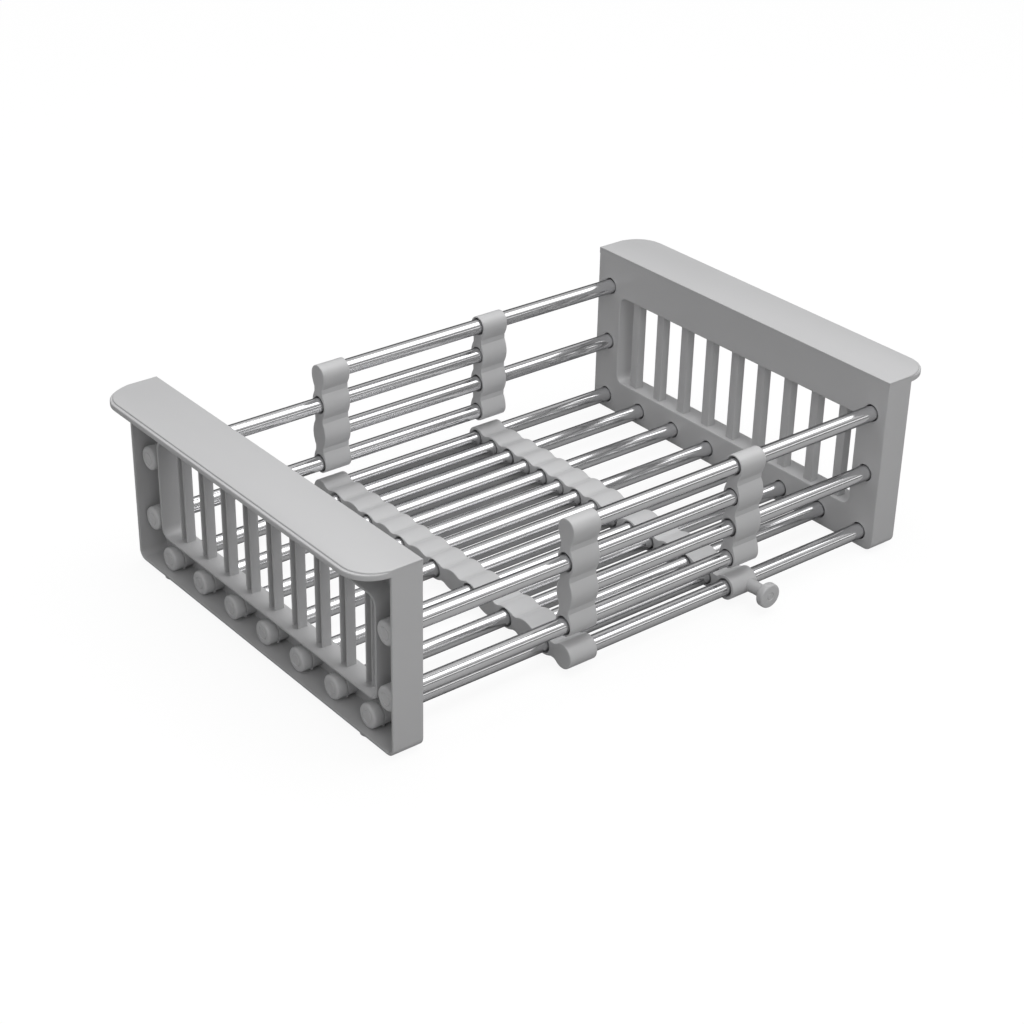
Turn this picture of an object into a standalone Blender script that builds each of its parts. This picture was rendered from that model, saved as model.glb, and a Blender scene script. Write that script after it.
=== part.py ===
"""Over-sink dish drying rack: two halves of steel tubes that telescope between moulded end panels.

X runs along the tubes, the lock knob is on the -Y side and Z is up. The origin lies under the middle
of the rack, on the surface that its feet stand on.
"""
import math

import bmesh
import bpy
from mathutils import Matrix, Vector

# Basket, from one panel's inner face to the other's, as it stands in the photograph
BASKET_LENGTH = 0.3165
LEFT_REACH = 0.2295
RIGHT_REACH = 0.2200

# End panels
PANEL_WIDTH = 0.2440
PANEL_HEIGHT = 0.1070
PANEL_DEPTH = 0.0182
PANEL_WALL = 0.0018
PANEL_CORNER = 0.0055
FOOT_DIAMETER = 0.0080
FOOT_HEIGHT = 0.0014
FOOT_INSET = 0.0280
FOOT_SETBACK = 0.0138

# Hanging flange along the top of a panel
FLANGE_REACH = 0.0360
FLANGE_THICKNESS = 0.0040
FLANGE_CORNER = 0.0175
LIP_WIDTH = 0.0016
LIP_DROP = 0.0008
LIP_EDGE = 0.0009
LIP_GROWTH_SHARE = 0.5
GUSSET_REACH = 0.0222
GUSSET_HEIGHT = 0.0038
GUSSET_THICKNESS = 0.0012

# Window with its frame wall and its channel bars
WINDOW_INSET = 0.0210
WINDOW_BOTTOM = 0.0220
WINDOW_DROP = 0.0270
WINDOW_CORNER = 0.0050
FRAME_WALL = 0.0015
FRAME_DEPTH = 0.0140
BAR_COUNT = 9
BAR_SPREAD_SHARE = 0.98
BAR_WIDTH = 0.0050
BAR_DEPTH = 0.0052
BAR_WALL = 0.0012
BAR_SETBACK = 0.0026

# Tubes, the moulded bosses that hold them and the caps that close them
TUBE_DIAMETER = 0.0090
TUBE_WALL = 0.0005
FLOOR_HEIGHT = 0.0093
SIDE_INSET = 0.0112
TOP_TUBE_DROP = 0.0227
BOSS_DIAMETER = 0.0135
BOSS_REACH = 0.0086
CAP_DIAMETER = 0.0135
CAP_HEIGHT = 0.0060
CAP_EDGE = 0.0012
SPIGOT_LENGTH = 0.0050

# Clips on the tubes' free ends
CLIP_LENGTH = 0.0180
LOBE_THICKNESS = 0.0124
SIDE_NECK = 0.0078
FLOOR_NECK = 0.0090
CORNER_BOSS_DIAMETER = 0.0144
CLIP_END_WALL = 0.0025
LOBE_SHARE = 0.42
WAVE_SHARES = (-0.5, -0.4, -0.2, 0, 0.2, 0.4)

# Thumbscrew
LOCK_OFFSET = 0.0045
LOCK_REACH = 0.0110
COLLAR_DIAMETER = 0.0072
COLLAR_ROOT = 0.0006
KNOB_DIAMETER = 0.0142
KNOB_THICKNESS = 0.0045
KNOB_EDGE = 0.0011
KNOB_GAP = 0.0005
KNOB_SOCKET = 0.0030
STUD_DIAMETER = 0.0036

# Clearances: pieces that are fixed together, tubes that slide, and the overrun of cuts and joints
FIT = 0.0003
SLIDE_CLEARANCE = 0.0006
OVERRUN = 0.0010

# Numbers of tubes and of facets
FLOOR_PLACES = 15
SIDE_PLACES = 4
ROUND_SIDES = 16
ARC_STEPS = 3
FLANGE_ARC_STEPS = 8
HALVINGS = 30
FLAT_ANGLE = math.radians(1)

# Heights and widths that follow from the sizes above
FLOOR_PITCH = (PANEL_WIDTH - SIDE_INSET - SIDE_INSET) / (FLOOR_PLACES - 1)
SIDE_PITCH = (PANEL_HEIGHT - FLOOR_HEIGHT - TOP_TUBE_DROP) / SIDE_PLACES
BAR_PITCH = (PANEL_WIDTH - WINDOW_INSET - WINDOW_INSET) * BAR_SPREAD_SHARE / BAR_COUNT
BASKET_Y = LOCK_REACH / 2
NEAR_Y = BASKET_Y - PANEL_WIDTH / 2
LEFT_X = -BASKET_LENGTH / 2
RIGHT_X = BASKET_LENGTH / 2
TUBE_Z = FOOT_HEIGHT + FLOOR_HEIGHT
TOP_Z = FOOT_HEIGHT + PANEL_HEIGHT
LEFT_CLIP_X = RIGHT_X - RIGHT_REACH + CLIP_LENGTH / 2
RIGHT_CLIP_X = LEFT_X + LEFT_REACH - CLIP_LENGTH / 2
LOCK_X = RIGHT_CLIP_X + LOCK_OFFSET
LOCK_Y = NEAR_Y + SIDE_INSET

# Turns that carry an outline drawn in X and Y, and the thickness along Z, to where a piece needs it
ALONG_X = Matrix(((0, 0, 1), (1, 0, 0), (0, 1, 0))).to_4x4()
ALONG_Y = Matrix(((0, 1, 0), (0, 0, 1), (1, 0, 0))).to_4x4()
ALONG_Z = Matrix.Identity(4)


def clear_scene():
    """Remove the objects that a new file starts with."""
    for thing in list(bpy.data.objects):
        bpy.data.objects.remove(thing, do_unlink=True)


def new_collection(name):
    """A collection in the scene."""
    group = bpy.data.collections.new(name)
    bpy.context.scene.collection.children.link(group)
    return group


def material(name, colour, roughness, metallic):
    """A Principled BSDF material."""
    made = bpy.data.materials.new(name)
    made.use_nodes = True
    shader = made.node_tree.nodes["Principled BSDF"]
    shader.inputs["Base Color"].default_value = (*colour, 1)
    shader.inputs["Roughness"].default_value = roughness
    shader.inputs["Metallic"].default_value = metallic
    made.diffuse_color = (*colour, 1)
    return made


def arc(centre, radius, start, end, steps):
    """Points on an arc, angles in degrees."""
    points = []
    for step in range(steps + 1):
        angle = math.radians(start + (end - start) * step / steps)
        points.append((centre[0] + radius * math.cos(angle), centre[1] + radius * math.sin(angle)))
    return points


def rounded_rectangle(low, high, radius, steps):
    """Outline of a rectangle with four round corners."""
    left, right = low[0] + radius, high[0] - radius
    bottom, top = low[1] + radius, high[1] - radius
    points = arc((left, bottom), radius, 180, 270, steps)
    points += arc((right, bottom), radius, 270, 360, steps)
    points += arc((right, top), radius, 0, 90, steps)
    points += arc((left, top), radius, 90, 180, steps)
    return points


def round_outline(centre, radius):
    """Circle with as many sides as the round pieces have."""
    return arc(centre, radius, 0, 360, ROUND_SIDES)[:-1]


def as_mesh(thing, name, group):
    """Turn a curve object into a welded mesh object in the same place."""
    bpy.context.view_layer.update()
    evaluated = thing.evaluated_get(bpy.context.evaluated_depsgraph_get())
    mesh = bpy.data.meshes.new_from_object(evaluated)
    mesh.name = name
    shape = bmesh.new()
    shape.from_mesh(mesh)
    bmesh.ops.remove_doubles(shape, verts=shape.verts, dist=FIT / 100)
    bmesh.ops.dissolve_limit(shape, angle_limit=FLAT_ANGLE, verts=shape.verts, edges=shape.edges)
    shape.to_mesh(mesh)
    shape.free()
    made = bpy.data.objects.new(name, mesh)
    made.matrix_world = thing.matrix_world.copy()
    bpy.data.objects.remove(thing, do_unlink=True)
    group.objects.link(made)
    return made


def extruded(name, outline, low, high, turn, group, holes=()):
    """A flat outline, with any holes, made solid between two places along the axis of its thickness."""
    curve = bpy.data.curves.new(name, "CURVE")
    curve.dimensions = "2D"
    curve.fill_mode = "BOTH"
    curve.extrude = abs(high - low) / 2
    for loop in (outline, *holes):
        spline = curve.splines.new("POLY")
        spline.points.add(len(loop) - 1)
        for point, place in zip(spline.points, loop):
            point.co = (place[0], place[1], 0, 1)
        spline.use_cyclic_u = True
    thing = bpy.data.objects.new(name, curve)
    bpy.context.scene.collection.objects.link(thing)
    thing.matrix_world = turn @ Matrix.Translation((0, 0, (low + high) / 2))
    return as_mesh(thing, name, group)


def box(name, low, high, group):
    """A box between two corners."""
    bpy.ops.mesh.primitive_cube_add(size=1)
    made = bpy.context.object
    low, high = Vector(low), Vector(high)
    size = high - low
    made.data.transform(Matrix.Translation((low + high) / 2) @ Matrix.Diagonal((*size, 1)))
    return put(made, name, group)


def cylinder(name, centre, radius, low, high, turn, group):
    """A round bar: its centre in the outline's plane, and its two ends along its axis."""
    bpy.ops.mesh.primitive_cylinder_add(vertices=ROUND_SIDES, radius=radius, depth=high - low)
    made = bpy.context.object
    made.data.transform(turn @ Matrix.Translation((centre[0], centre[1], (low + high) / 2)))
    return put(made, name, group)


def put(thing, name, group):
    """Name an object and move it to its collection."""
    thing.name = name
    thing.data.name = name
    for old in list(thing.users_collection):
        old.objects.unlink(thing)
    group.objects.link(thing)
    return thing


def combine(thing, operation, tools):
    """Join tools to a piece or cut them from it, with one Boolean modifier each."""
    for tool in tools:
        modifier = thing.modifiers.new(tool.name, "BOOLEAN")
        modifier.operation = operation
        modifier.object = tool
        modifier.solver = "EXACT"
        tool.hide_render = True
        tool.display_type = "WIRE"


def settled(thing, name, group):
    """The piece with its Booleans carried out, so that it can be moved away from its cutters."""
    bpy.context.view_layer.update()
    evaluated = thing.evaluated_get(bpy.context.evaluated_depsgraph_get())
    made = bpy.data.objects.new(name, bpy.data.meshes.new_from_object(evaluated))
    made.matrix_world = thing.matrix_world.copy()
    bpy.data.objects.remove(thing, do_unlink=True)
    group.objects.link(made)
    return made


def finish(thing, name, finish_material, origin, parent):
    """Give a piece its name, material, smooth rounds, origin and parent."""
    thing.name = name
    mesh = thing.data
    mesh.materials.clear()
    mesh.materials.append(finish_material)
    mesh.transform(thing.matrix_world)
    mesh.transform(Matrix.Translation(-Vector(origin)))
    thing.matrix_world = Matrix.Identity(4)
    mesh.shade_smooth()
    mesh.set_sharp_from_angle(angle=math.radians(40))
    thing.parent = parent
    thing.location = Vector(origin) - parent.location
    return thing


def empty(name, place, group, parent=None):
    """A frame that carries the pieces of one body."""
    made = bpy.data.objects.new(name, None)
    made.empty_display_size = CORNER_BOSS_DIAMETER
    made.location = place
    if parent is not None:
        made.parent = parent
        made.location = Vector(place) - parent.location
    group.objects.link(made)
    return made


def floor_y(place):
    """Y of a floor tube, counted from the knob's side."""
    return NEAR_Y + SIDE_INSET + FLOOR_PITCH * place


def side_z(place):
    """Height of a side tube, counted from the corner tube up."""
    return TUBE_Z + SIDE_PITCH * place


def tube_places(half):
    """Names and places (Y and Z) of one half's tubes: right has the corners, left lies between."""
    first = 0 if half == "right" else 1
    places = []
    for number, place in enumerate(range(first, FLOOR_PLACES, 2)):
        places.append((f"floor_{number + 1}", floor_y(place), TUBE_Z))
    side_places = (4, 2) if half == "right" else (3, 1)
    for label, place in zip(("upper", "lower"), side_places):
        places.append((f"near_{label}", floor_y(0), side_z(place)))
        places.append((f"far_{label}", floor_y(FLOOR_PLACES - 1), side_z(place)))
    return places


def panel(half, group, cutters):
    """End panel, its inner face at X = 0: open box, flange, framed window, channel bars and bosses."""
    outward = 1 if half == "right" else -1
    far_y = NEAR_Y + PANEL_WIDTH
    under_z = TOP_Z - FLANGE_THICKNESS

    def span(start, end):
        """Low and high X of what lies between two depths, counted out from the inner face."""
        ends = (outward * start, outward * end)
        return min(ends), max(ends)

    # The box: an outline with round lower corners, hollowed from its outer side
    low, high = (NEAR_Y, FOOT_HEIGHT), (far_y, under_z)
    outline = arc((low[0] + PANEL_CORNER, low[1] + PANEL_CORNER), PANEL_CORNER, 180, 270, ARC_STEPS)
    outline += arc((high[0] - PANEL_CORNER, low[1] + PANEL_CORNER), PANEL_CORNER, 270, 360, ARC_STEPS)
    outline += [(high[0], (under_z + TOP_Z) / 2), (low[0], (under_z + TOP_Z) / 2)]
    made = extruded(f"{half}_panel", outline, *span(0, PANEL_DEPTH), ALONG_X, group)
    inner = PANEL_CORNER - PANEL_WALL
    low, high = (NEAR_Y + PANEL_WALL, FOOT_HEIGHT + PANEL_WALL), (far_y - PANEL_WALL, under_z + LIP_EDGE)
    hollow_outline = arc((low[0] + inner, low[1] + inner), inner, 180, 270, ARC_STEPS)
    hollow_outline += arc((high[0] - inner, low[1] + inner), inner, 270, 360, ARC_STEPS)
    hollow_outline += [(high[0], high[1]), (low[0], high[1])]
    hollow = extruded(f"{half}_hollow", hollow_outline, *span(PANEL_WALL, PANEL_DEPTH + OVERRUN), ALONG_X, cutters)
    combine(made, "DIFFERENCE", [hollow])

    # The flange: a lip all round its outer side, and a top plate a step above the lip
    def flange_outline(inset):
        """Square at the inner face, with two large round corners that an inset grows along."""
        points = [(0, NEAR_Y)]
        for centre_y, start in ((NEAR_Y + FLANGE_CORNER, 270), (far_y - FLANGE_CORNER, 0)):
            for step in range(FLANGE_ARC_STEPS + 1):
                angle = math.radians(start + 90 * step / FLANGE_ARC_STEPS)
                radius = FLANGE_CORNER - inset * abs(math.cos(angle)) ** LIP_GROWTH_SHARE
                x = FLANGE_REACH - FLANGE_CORNER + radius * math.cos(angle)
                points.append((x, centre_y + radius * math.sin(angle)))
        points.append((0, far_y))
        return [(outward * x, y) for x, y in points]

    lip = extruded(f"{half}_lip", flange_outline(0), under_z, TOP_Z - LIP_DROP, ALONG_Z, cutters)
    lip_round = lip.modifiers.new("rim", "BEVEL")
    lip_round.width = LIP_EDGE
    lip_round.segments = 2
    lip_round.limit_method = "ANGLE"
    lip_round.angle_limit = math.radians(60)
    top = extruded(f"{half}_top", flange_outline(LIP_WIDTH), under_z + LIP_EDGE, TOP_Z, ALONG_Z, cutters)

    # The window frame runs out from the inner wall, and a gusset stands in each upper corner
    frame_low = (NEAR_Y + WINDOW_INSET, FOOT_HEIGHT + WINDOW_BOTTOM)
    frame_high = (far_y - WINDOW_INSET, TOP_Z - WINDOW_DROP)
    outer_low = (frame_low[0] - FRAME_WALL, frame_low[1] - FRAME_WALL)
    outer_high = (frame_high[0] + FRAME_WALL, frame_high[1] + FRAME_WALL)
    frame_outline = rounded_rectangle(outer_low, outer_high, WINDOW_CORNER + FRAME_WALL, ARC_STEPS)
    frame = extruded(f"{half}_frame", frame_outline, *span(PANEL_WALL / 2, FRAME_DEPTH), ALONG_X, cutters)
    tools = [lip, top, frame]
    for side, centre_y in (("near", floor_y(0)), ("far", floor_y(FLOOR_PLACES - 1))):
        ends = span(PANEL_WALL / 2, GUSSET_REACH)
        low = (ends[0], centre_y - GUSSET_THICKNESS / 2, under_z - GUSSET_HEIGHT)
        high = (ends[1], centre_y + GUSSET_THICKNESS / 2, under_z + LIP_EDGE)
        tools.append(box(f"{half}_{side}_gusset", low, high, cutters))
    for name, y, z in tube_places(half):
        ends = span(PANEL_WALL / 2, BOSS_REACH)
        tools.append(cylinder(f"{half}_{name}_boss", (y, z), BOSS_DIAMETER / 2, *ends, ALONG_X, cutters))
    for side, centre_y in (("near", NEAR_Y + FOOT_INSET), ("far", far_y - FOOT_INSET)):
        centre = (outward * FOOT_SETBACK, centre_y)
        top_z = FOOT_HEIGHT + PANEL_WALL / 2
        tools.append(cylinder(f"{half}_{side}_foot", centre, FOOT_DIAMETER / 2, 0, top_z, ALONG_Z, cutters))
    combine(made, "UNION", tools)

    # Openings: the window and a bore for each tube
    window_outline = rounded_rectangle(frame_low, frame_high, WINDOW_CORNER, ARC_STEPS)
    window = extruded(f"{half}_window", window_outline, *span(-OVERRUN, FRAME_DEPTH + OVERRUN), ALONG_X, cutters)
    cuts = [window]
    for name, y, z in tube_places(half):
        ends = span(-OVERRUN, BOSS_REACH + OVERRUN)
        cuts.append(cylinder(f"{half}_{name}_bore", (y, z), TUBE_DIAMETER / 2 + FIT, *ends, ALONG_X, cutters))
    combine(made, "DIFFERENCE", cuts)

    # The bars: channels that open outwards, let into the frame at both ends
    bars = []
    for number in range(BAR_COUNT):
        centre_y = BASKET_Y + BAR_PITCH * (number - (BAR_COUNT - 1) / 2)
        half_width = BAR_WIDTH / 2
        web = outward * (BAR_SETBACK + BAR_WALL)
        back = outward * BAR_SETBACK
        front = outward * (BAR_SETBACK + BAR_DEPTH)
        inside = half_width - BAR_WALL
        channel = [
            (back, centre_y - half_width),
            (front, centre_y - half_width),
            (front, centre_y - inside),
            (web, centre_y - inside),
            (web, centre_y + inside),
            (front, centre_y + inside),
            (front, centre_y + half_width),
            (back, centre_y + half_width),
        ]
        low = frame_low[1] - FRAME_WALL / 2
        high = frame_high[1] + FRAME_WALL / 2
        bars.append(extruded(f"{half}_bar_{number + 1}", channel, low, high, ALONG_Z, cutters))
    combine(made, "UNION", bars)
    return settled(made, f"{half}_panel", group)


def tube(half, group):
    """Thin steel tube from its boss to its socket in the clip, along X from its panel's inner face."""
    outward = 1 if half == "right" else -1
    inner_x = RIGHT_X if half == "right" else LEFT_X
    reach = RIGHT_REACH if half == "right" else LEFT_REACH
    free_end = inner_x - outward * (reach - CLIP_END_WALL - FIT)
    held_end = inner_x + outward * BOSS_REACH
    low, high = min(free_end, held_end), max(free_end, held_end)
    bpy.ops.mesh.primitive_cylinder_add(
        vertices=ROUND_SIDES, radius=TUBE_DIAMETER / 2, depth=high - low, end_fill_type="NOTHING")
    made = put(bpy.context.object, f"{half}_tube", group)
    made.data.transform(ALONG_X @ Matrix.Translation((0, 0, (low + high) / 2 - inner_x)))
    wall = made.modifiers.new("wall", "SOLIDIFY")
    wall.thickness = TUBE_WALL
    wall.offset = -1
    wall.use_even_offset = True
    return made


def turned(name, profile, group):
    """A solid turned about Z from a profile that runs from its top down to its bottom."""
    mesh = bpy.data.meshes.new(name)
    shape = bmesh.new()
    corners = [shape.verts.new((radius, 0, height)) for radius, height in profile]
    for start, end in zip(corners, corners[1:]):
        shape.edges.new((start, end))
    shape.to_mesh(mesh)
    shape.free()
    made = bpy.data.objects.new(name, mesh)
    group.objects.link(made)
    spin = made.modifiers.new("turning", "SCREW")
    spin.steps = ROUND_SIDES
    spin.render_steps = ROUND_SIDES
    spin.use_merge_vertices = True
    spin.merge_threshold = FIT / 100
    return made


def cap_profile():
    """Cap with a spigot for the tube's bore: its face is up, its spigot down."""
    radius = CAP_DIAMETER / 2
    spigot = TUBE_DIAMETER / 2 - TUBE_WALL - FIT
    return [
        (0, CAP_HEIGHT),
        (radius - CAP_EDGE, CAP_HEIGHT),
        (radius, CAP_HEIGHT - CAP_EDGE),
        (radius, 0),
        (spigot, 0),
        (spigot, -SPIGOT_LENGTH),
        (0, -SPIGOT_LENGTH),
    ]


def knob_profile():
    """Round knob: its outer face is up, and the screw's socket opens below."""
    radius = KNOB_DIAMETER / 2
    socket = STUD_DIAMETER / 2 + FIT
    bevel = KNOB_EDGE * math.cos(math.radians(45))
    return [
        (0, KNOB_THICKNESS),
        (radius - KNOB_EDGE, KNOB_THICKNESS),
        (radius - KNOB_EDGE + bevel, KNOB_THICKNESS - KNOB_EDGE + bevel),
        (radius, KNOB_THICKNESS - KNOB_EDGE),
        (radius, KNOB_EDGE),
        (radius - KNOB_EDGE, 0),
        (socket, 0),
        (socket, KNOB_SOCKET),
        (0, KNOB_SOCKET),
    ]


def wave(first, pitch, count, middle, neck, end_radius):
    """Outline of a clip: an arched lobe at each tube, a flat neck between two, and round end bosses."""
    def half_thickness(along):
        off_share = abs(along / pitch - round(along / pitch)) / LOBE_SHARE
        swing = max(0, 1 - off_share ** 2)
        return neck / 2 + (LOBE_THICKNESS - neck) / 2 * swing

    # Where the end boss meets the wave, found by halving
    meet, beyond = 0, pitch / 2
    for _ in range(HALVINGS):
        trial = (meet + beyond) / 2
        if math.hypot(trial, half_thickness(trial)) < end_radius:
            meet = trial
        else:
            beyond = trial
    angle = math.degrees(math.atan2(half_thickness(meet), meet))
    length = pitch * (count - 1)
    stops = [pitch * (lobe + share) for lobe in range(count) for share in WAVE_SHARES]
    stops = [stop for stop in stops if meet + FIT < stop < length - meet - FIT]
    below = [(first + stop, middle - half_thickness(stop)) for stop in stops]
    above = [(first + stop, middle + half_thickness(stop)) for stop in reversed(stops)]
    last_end = arc((first + length, middle), end_radius, angle - 180, 180 - angle, ARC_STEPS * 3)
    first_end = arc((first, middle), end_radius, angle, 360 - angle, ARC_STEPS * 3)
    return below + last_end + above + first_end


def clip_body(name, outline, centres, own, centre_x, open_side, group, cutters):
    """Clip with a through bore for each tube that slides and a blind socket for each that it holds."""
    low, high = centre_x - CLIP_LENGTH / 2, centre_x + CLIP_LENGTH / 2
    sliding = [centre for number, centre in enumerate(centres) if number % 2 != own]
    held = [centre for number, centre in enumerate(centres) if number % 2 == own]
    holes = [round_outline(centre, TUBE_DIAMETER / 2 + SLIDE_CLEARANCE) for centre in sliding]
    made = extruded(name, outline, low, high, ALONG_X, group, holes)
    ends = (low - OVERRUN, high - CLIP_END_WALL)
    if open_side > 0:
        ends = (low + CLIP_END_WALL, high + OVERRUN)
    cuts = []
    for number, centre in enumerate(held):
        radius = TUBE_DIAMETER / 2 + FIT
        cuts.append(cylinder(f"{name}_socket_{number + 1}", centre, radius, *ends, ALONG_X, cutters))
    combine(made, "DIFFERENCE", cuts)
    return made


def side_clip(name, centre_y, centre_x, own, open_side, group, cutters):
    """Clip on a side wall: four lobes one above another."""
    upright = wave(side_z(1), SIDE_PITCH, SIDE_PLACES, centre_y, SIDE_NECK, LOBE_THICKNESS / 2)
    outline = [(y, z) for z, y in upright]
    centres = [(centre_y, side_z(place + 1)) for place in range(SIDE_PLACES)]
    return clip_body(name, outline, centres, own, centre_x, open_side, group, cutters)


def floor_clip(name, centre_x, own, open_side, lock, group, cutters):
    """Clip across the floor: a lobe at each tube, round corner bosses, and on one the lock's collar."""
    outline = wave(floor_y(0), FLOOR_PITCH, FLOOR_PLACES, TUBE_Z, FLOOR_NECK, CORNER_BOSS_DIAMETER / 2)
    centres = [(floor_y(place), TUBE_Z) for place in range(FLOOR_PLACES)]
    made = clip_body(name, outline, centres, own, centre_x, open_side, group, cutters)
    if lock:
        collar_end = NEAR_Y - LOCK_REACH + KNOB_THICKNESS + KNOB_GAP
        root = LOCK_Y - TUBE_DIAMETER / 2 - SLIDE_CLEARANCE - COLLAR_ROOT
        centre = (TUBE_Z, LOCK_X)
        collar = cylinder(f"{name}_collar", centre, COLLAR_DIAMETER / 2, collar_end, root, ALONG_Y, cutters)
        combine(made, "UNION", [collar])
        radius = STUD_DIAMETER / 2 + FIT
        thread = cylinder(f"{name}_thread", centre, radius, collar_end - OVERRUN, LOCK_Y, ALONG_Y, cutters)
        combine(made, "DIFFERENCE", [thread])
    return made


def build_half(half, frame_object, tube_material, plastic, cap_material, group, cutters):
    """One panel with its tubes and their caps."""
    outward = 1 if half == "right" else -1
    inner_x = RIGHT_X if half == "right" else LEFT_X
    made = panel(half, group, cutters)
    finish(made, f"{half}_end_panel", plastic, (0, BASKET_Y, FOOT_HEIGHT), frame_object)
    made.location = (0, 0, FOOT_HEIGHT)
    tube_shape = tube(half, group)
    cap_shape = turned(f"{half}_cap", cap_profile(), group)
    facing = math.radians(90) * outward
    for name, y, z in tube_places(half):
        for shape, kind, x, lean, surface in (
                (tube_shape, "tube", inner_x, 0, tube_material),
                (cap_shape, "cap", inner_x + outward * (BOSS_REACH + FIT), facing, cap_material)):
            piece = shape.copy()
            piece.data = shape.data.copy()
            group.objects.link(piece)
            finish(piece, f"{half}_{name}_{kind}", surface, (0, 0, 0), frame_object)
            piece.location = Vector((x, y, z)) - frame_object.location
            piece.rotation_euler = (0, lean, 0)
    bpy.data.objects.remove(tube_shape, do_unlink=True)
    bpy.data.objects.remove(cap_shape, do_unlink=True)


def build_clips(half, frame_object, plastic, group, cutters):
    """The three clips on the free ends of one half's tubes, which the other half's tubes slide through."""
    centre_x = LEFT_CLIP_X if half == "right" else RIGHT_CLIP_X
    open_side = 1 if half == "right" else -1
    side_own = 1 if half == "right" else 0
    floor_own = 0 if half == "right" else 1
    for label, place in (("near", 0), ("far", FLOOR_PLACES - 1)):
        centre_y = floor_y(place)
        name = f"{half}_{label}_side_clip"
        made = side_clip(name, centre_y, centre_x, side_own, open_side, group, cutters)
        finish(made, name, plastic, (centre_x, centre_y, side_z(1)), frame_object)
    name = f"{half}_floor_clip"
    made = floor_clip(name, centre_x, floor_own, open_side, half == "left", group, cutters)
    finish(made, name, plastic, (centre_x, BASKET_Y, TUBE_Z), frame_object)


def build_lock(left_frame, plastic, steel, group):
    """Thumbscrew: a screw that presses on the corner tube, and the knob on its end."""
    knob_y = NEAR_Y - LOCK_REACH + KNOB_THICKNESS
    slide_frame = empty("lock_slide_frame", (LOCK_X, knob_y, TUBE_Z), group, left_frame)
    tip = LOCK_Y - TUBE_DIAMETER / 2 - FIT
    head = knob_y - KNOB_SOCKET + FIT
    stud = cylinder("lock_stud", (TUBE_Z, LOCK_X), STUD_DIAMETER / 2, head, tip, ALONG_Y, group)
    place = Vector((LOCK_X, knob_y, TUBE_Z))
    finish(stud, "lock_stud", steel, place, slide_frame)
    stud.location = (0, 0, 0)
    knob = turned("lock_knob", knob_profile(), group)
    finish(knob, "lock_knob", plastic, (0, 0, 0), slide_frame)
    knob.location = (0, 0, 0)
    knob.rotation_euler = (math.radians(90), 0, 0)


def main():
    """Build the rack."""
    clear_scene()
    group = new_collection("dish_rack")
    cutters = new_collection("cutters")
    plastic = material("grey_plastic", (0.52, 0.52, 0.53), 0.42, 0)
    cap_plastic = material("cap_plastic", (0.56, 0.56, 0.57), 0.42, 0)
    tube_steel = material("tube_steel", (0.76, 0.76, 0.77), 0.18, 1)
    screw_steel = material("screw_steel", (0.62, 0.62, 0.64), 0.30, 1)
    left_frame = empty("left_half", (LEFT_X, BASKET_Y, 0), group)
    right_frame = empty("right_half", (RIGHT_X, BASKET_Y, 0), group)
    for half, frame_object in (("left", left_frame), ("right", right_frame)):
        build_half(half, frame_object, tube_steel, plastic, cap_plastic, group, cutters)
        build_clips(half, frame_object, plastic, group, cutters)
    build_lock(left_frame, plastic, screw_steel, group)


main()
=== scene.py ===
"""Looks of an over-sink dish drying rack: steel tubes that telescope between two moulded end panels."""
import math

import bmesh
import bpy
from mathutils import Matrix, Vector


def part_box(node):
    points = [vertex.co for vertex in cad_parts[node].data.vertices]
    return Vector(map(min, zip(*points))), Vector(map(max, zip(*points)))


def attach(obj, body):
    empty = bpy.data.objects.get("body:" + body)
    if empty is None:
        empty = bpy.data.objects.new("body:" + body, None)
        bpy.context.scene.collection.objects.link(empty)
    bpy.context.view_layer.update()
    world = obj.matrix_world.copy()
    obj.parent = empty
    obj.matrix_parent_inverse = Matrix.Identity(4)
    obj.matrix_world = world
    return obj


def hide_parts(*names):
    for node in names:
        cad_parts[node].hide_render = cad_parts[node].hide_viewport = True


bl_info = {
    "name": "Over-Sink Drying Rack",
    "version": (1, 0, 0),
    "blender": (4, 5, 0),
    "location": "3D View > Sidebar > Drying Rack",
    "description": "Models the tubes, caps, clips, end panels and thumbscrew of a telescoping drying rack",
    "category": "Add Mesh",
}

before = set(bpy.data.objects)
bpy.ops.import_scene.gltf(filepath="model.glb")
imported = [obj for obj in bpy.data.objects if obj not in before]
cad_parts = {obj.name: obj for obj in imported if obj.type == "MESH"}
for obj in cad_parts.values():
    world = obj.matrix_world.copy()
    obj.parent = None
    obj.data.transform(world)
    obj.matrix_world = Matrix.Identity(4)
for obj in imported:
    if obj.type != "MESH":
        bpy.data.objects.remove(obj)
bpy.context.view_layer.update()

# Places read from the frame
LEFT_LOW, LEFT_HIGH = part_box("left_end_panel")
RIGHT_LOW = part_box("right_end_panel")[0]
TUBE_LOW, TUBE_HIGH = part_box("left_floor_1_tube")
CLIP_LOW, CLIP_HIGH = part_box("left_near_side_clip")
KNOB_LOW, KNOB_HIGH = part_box("lock_knob")
STUD_LOW, STUD_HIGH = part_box("lock_stud")
NEAR_Y, FAR_Y = LEFT_LOW.y, LEFT_HIGH.y
MIDDLE_Y = (NEAR_Y + FAR_Y) / 2
TOP_Z = LEFT_HIGH.z
TUBE_DIAMETER = TUBE_HIGH.z - TUBE_LOW.z
TUBE_Z = (TUBE_LOW.z + TUBE_HIGH.z) / 2
LOBE_THICKNESS = CLIP_HIGH.y - CLIP_LOW.y
UP = Vector((0, 0, 1))
TO_NEAR_SIDE = Vector((0, -1, 0))

# The two halves: the X of each one's inner face, and the way from there out to its caps
HALVES = ("left", "right")
INNER_X = {"left": LEFT_HIGH.x, "right": RIGHT_LOW.x}
OUTWARD = {"left": -1, "right": 1}

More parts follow.
